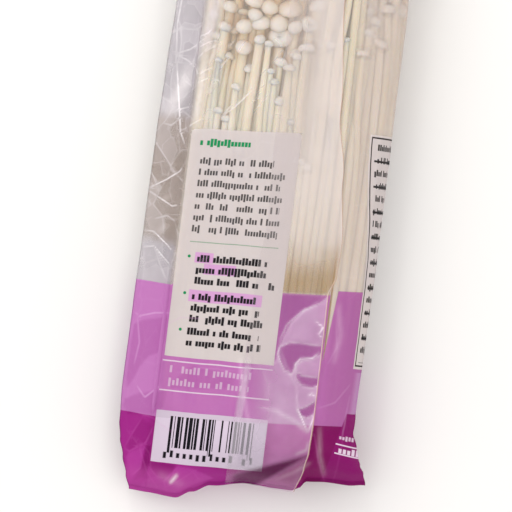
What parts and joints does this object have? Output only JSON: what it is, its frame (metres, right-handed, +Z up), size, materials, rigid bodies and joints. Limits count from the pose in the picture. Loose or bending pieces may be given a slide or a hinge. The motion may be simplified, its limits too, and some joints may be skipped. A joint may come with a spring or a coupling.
{
  "type": "enoki mushroom bunch",
  "caption": "Bunch of slender enoki mushrooms on a root block, sealed in a clear pillow bag with a printed lower band, lying flat with its back seam up.",
  "frame": {"origin": "on the surface that the bag lies on, under the middle of the bag", "axes": "+Y along the bag from its lower seal to its upper seal, +X across it to the right as seen from above with the upper seal away from the viewer, +Z up through the side with the back seam"},
  "size_m": [0.106, 0.2526, 0.0416],
  "materials": {
    "film": "gloss",
    "mushroom": "satin",
    "root_threads": "matte"
  },
  "bodies": {
    "root": {"back_seam_flap": "film", "film_bag": "film", "root_base": "root_threads", "tuft_01": "mushroom", "tuft_02": "mushroom", "tuft_03": "mushroom", "tuft_04": "mushroom", "tuft_05": "mushroom", "tuft_06": "mushroom", "tuft_07": "mushroom", "tuft_08": "mushroom", "tuft_09": "mushroom", "tuft_10": "mushroom", "tuft_11": "mushroom", "tuft_12": "mushroom", "tuft_13": "mushroom", "tuft_14": "mushroom", "tuft_15": "mushroom", "tuft_16": "mushroom", "tuft_17": "mushroom", "tuft_18": "mushroom", "tuft_19": "mushroom", "tuft_20": "mushroom", "tuft_21": "mushroom", "tuft_22": "mushroom", "tuft_23": "mushroom", "tuft_24": "mushroom", "tuft_25": "mushroom", "tuft_26": "mushroom", "tuft_27": "mushroom", "tuft_28": "mushroom", "tuft_29": "mushroom", "tuft_30": "mushroom", "tuft_31": "mushroom", "tuft_32": "mushroom", "tuft_33": "mushroom", "tuft_34": "mushroom", "tuft_35": "mushroom"}
  },
  "joints": []
}
